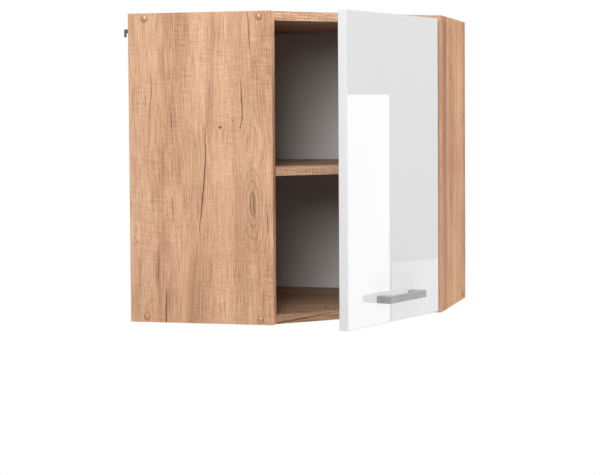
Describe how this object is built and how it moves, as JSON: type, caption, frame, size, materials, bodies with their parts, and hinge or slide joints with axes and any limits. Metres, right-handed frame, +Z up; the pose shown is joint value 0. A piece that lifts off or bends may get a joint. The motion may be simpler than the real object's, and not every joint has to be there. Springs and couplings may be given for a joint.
{
  "type": "corner wall cabinet",
  "caption": "Diagonal corner wall cabinet in light oak board with a white gloss slab door ajar on concealed hinges, grey bow handle, one shelf and rear wall hangers",
  "frame": {"origin": "the room corner: where the planes of the two walls meet, at the height of the cabinet's underside", "axes": "+X from the room corner along one wall to the right side panel, +Y into the wall behind the right leg, so the cabinet lies at negative Y, +Z up"},
  "size_m": [0.5844, 0.662, 0.6],
  "materials": {
    "oak_board": "matte wood-grain melamine",
    "white_backing": "painted hardboard",
    "white_gloss_front": "white high gloss",
    "grey_handle": "satin grey",
    "cap_plastic": "satin",
    "white_plastic": "satin",
    "clear_bumper": "soft translucent",
    "zinc_steel": "bright zinc"
  },
  "bodies": {
    "carcass": {"back_corner_profile": "white_plastic", "bottom_panel": "oak_board", "corner_screw_left_bottom_front": "zinc_steel", "corner_screw_left_bottom_rear": "zinc_steel", "corner_screw_left_top_front": "zinc_steel", "corner_screw_left_top_rear": "zinc_steel", "corner_screw_right_bottom_front": "zinc_steel", "corner_screw_right_bottom_rear": "zinc_steel", "corner_screw_right_top_front": "zinc_steel", "corner_screw_right_top_rear": "zinc_steel", "cover_cap_left_bottom_front": "cap_plastic", "cover_cap_left_bottom_rear": "cap_plastic", "cover_cap_left_top_front": "cap_plastic", "cover_cap_left_top_rear": "cap_plastic", "cover_cap_right_bottom_front": "cap_plastic", "cover_cap_right_bottom_rear": "cap_plastic", "cover_cap_right_top_front": "cap_plastic", "cover_cap_right_top_rear": "cap_plastic", "left_back_panel": "white_backing", "left_hanger_hook": "zinc_steel", "left_hanger_housing": "white_plastic", "left_hanger_screw": "zinc_steel", "left_side_panel": "oak_board", "lower_arm_screw": "zinc_steel", "lower_hinge_arm": "zinc_steel", "lower_hinge_plate": "zinc_steel", "lower_plate_screw_bottom": "zinc_steel", "lower_plate_screw_top": "zinc_steel", "right_back_panel": "white_backing", "right_hanger_hook": "zinc_steel", "right_hanger_housing": "white_plastic", "right_hanger_screw": "zinc_steel", "right_side_panel": "oak_board", "shelf": "oak_board", "shelf_pin_left_front": "zinc_steel", "shelf_pin_left_rear": "zinc_steel", "shelf_pin_right_front": "zinc_steel", "shelf_pin_right_rear": "zinc_steel", "top_panel": "oak_board", "upper_arm_screw": "zinc_steel", "upper_hinge_arm": "zinc_steel", "upper_hinge_plate": "zinc_steel", "upper_plate_screw_bottom": "zinc_steel", "upper_plate_screw_top": "zinc_steel"},
    "door": {"bottom_door_bumper": "clear_bumper", "door_panel": "white_gloss_front", "handle": "grey_handle", "handle_screw_1": "zinc_steel", "handle_screw_2": "zinc_steel", "lower_cup_screw_bottom": "zinc_steel", "lower_cup_screw_top": "zinc_steel", "lower_hinge_cup": "zinc_steel", "top_door_bumper": "clear_bumper", "upper_cup_screw_bottom": "zinc_steel", "upper_cup_screw_top": "zinc_steel", "upper_hinge_cup": "zinc_steel"},
    "upper_link": {"upper_hinge_link": "zinc_steel"},
    "lower_link": {"lower_hinge_link": "zinc_steel"}
  },
  "joints": [
    {"name": "upper_link_turn", "type": "hinge", "parent": "carcass", "child": "upper_link", "pos_m": [0.52263, -0.31084, 0.504], "axis": [0, 0, 1], "range_deg": [-28.8, 11.2]},
    {"name": "door_turn", "type": "hinge", "parent": "upper_link", "child": "door", "pos_m": [0.54222, -0.3065, 0.504], "axis": [0, 0, 1], "range_deg": [-39.2, 100.8]},
    {"name": "lower_link_turn", "type": "hinge", "parent": "carcass", "child": "lower_link", "pos_m": [0.52263, -0.31084, 0.093], "axis": [0, 0, 1], "range_deg": [-28.8, 11.2]}
  ],
  "couplings": [
    {"joint": "upper_link_turn", "follows": "door_turn", "ratio": -0.28571},
    {"joint": "lower_link_turn", "follows": "door_turn", "ratio": -0.28571}
  ]
}
